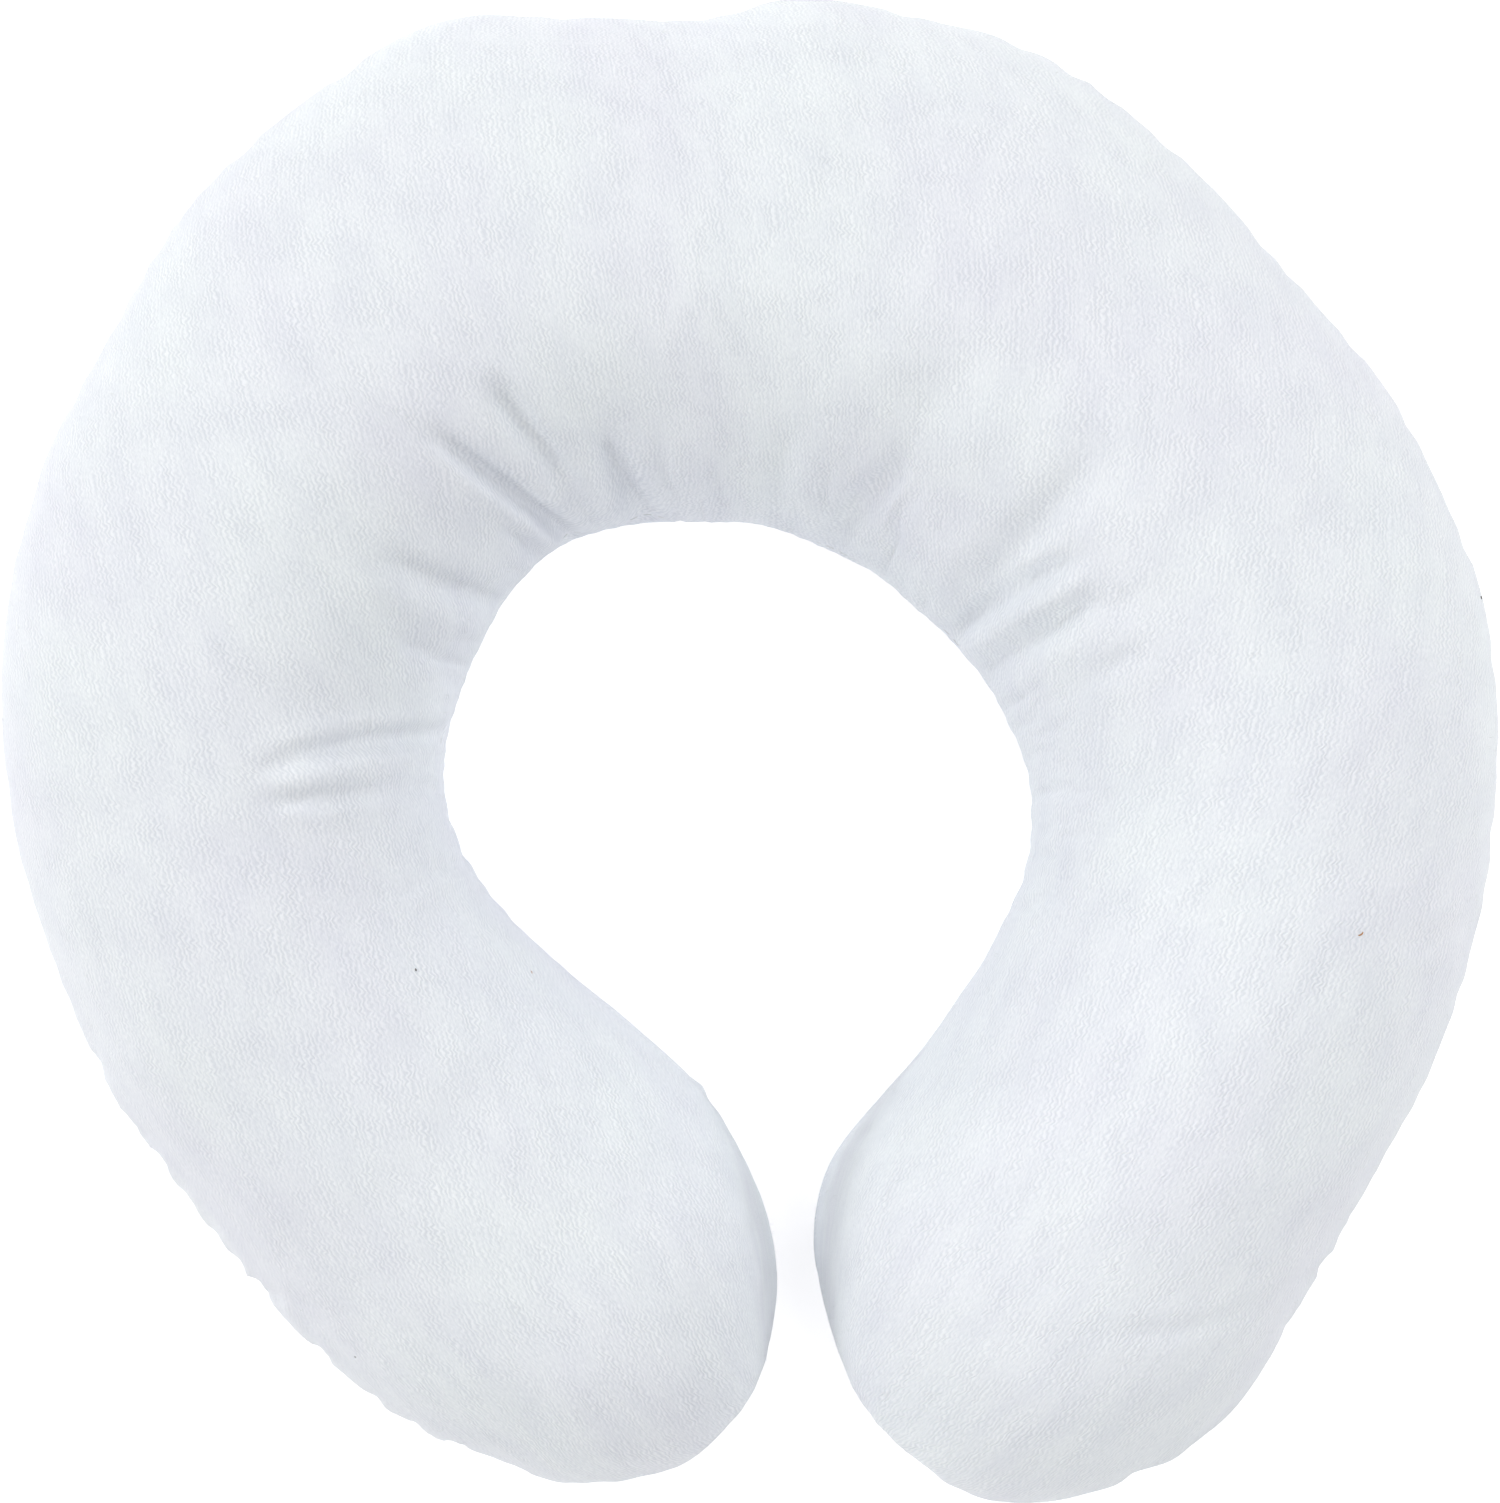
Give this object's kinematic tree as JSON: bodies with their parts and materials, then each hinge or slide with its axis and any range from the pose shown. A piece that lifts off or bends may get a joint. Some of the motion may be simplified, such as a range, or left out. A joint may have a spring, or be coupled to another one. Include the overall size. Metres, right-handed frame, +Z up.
{
  "type": "neck pillow",
  "caption": "Stuffed C-shaped neck pillow of short-pile white velour, with a rim seam, creases gathered round its neck hollow and a narrow mouth between its lobes.",
  "frame": {"origin": "centre of the pillow's outline, at the level that it rests on", "axes": "+Z up from the surface through the crown; +Y towards the closed back, so the mouth opens to -Y; +X to the right, seen from above with the back at the top"},
  "size_m": [0.31, 0.311, 0.0893],
  "materials": {
    "velour": "matt short-pile white velour"
  },
  "bodies": {
    "root": {"pillow": "velour"}
  },
  "joints": []
}
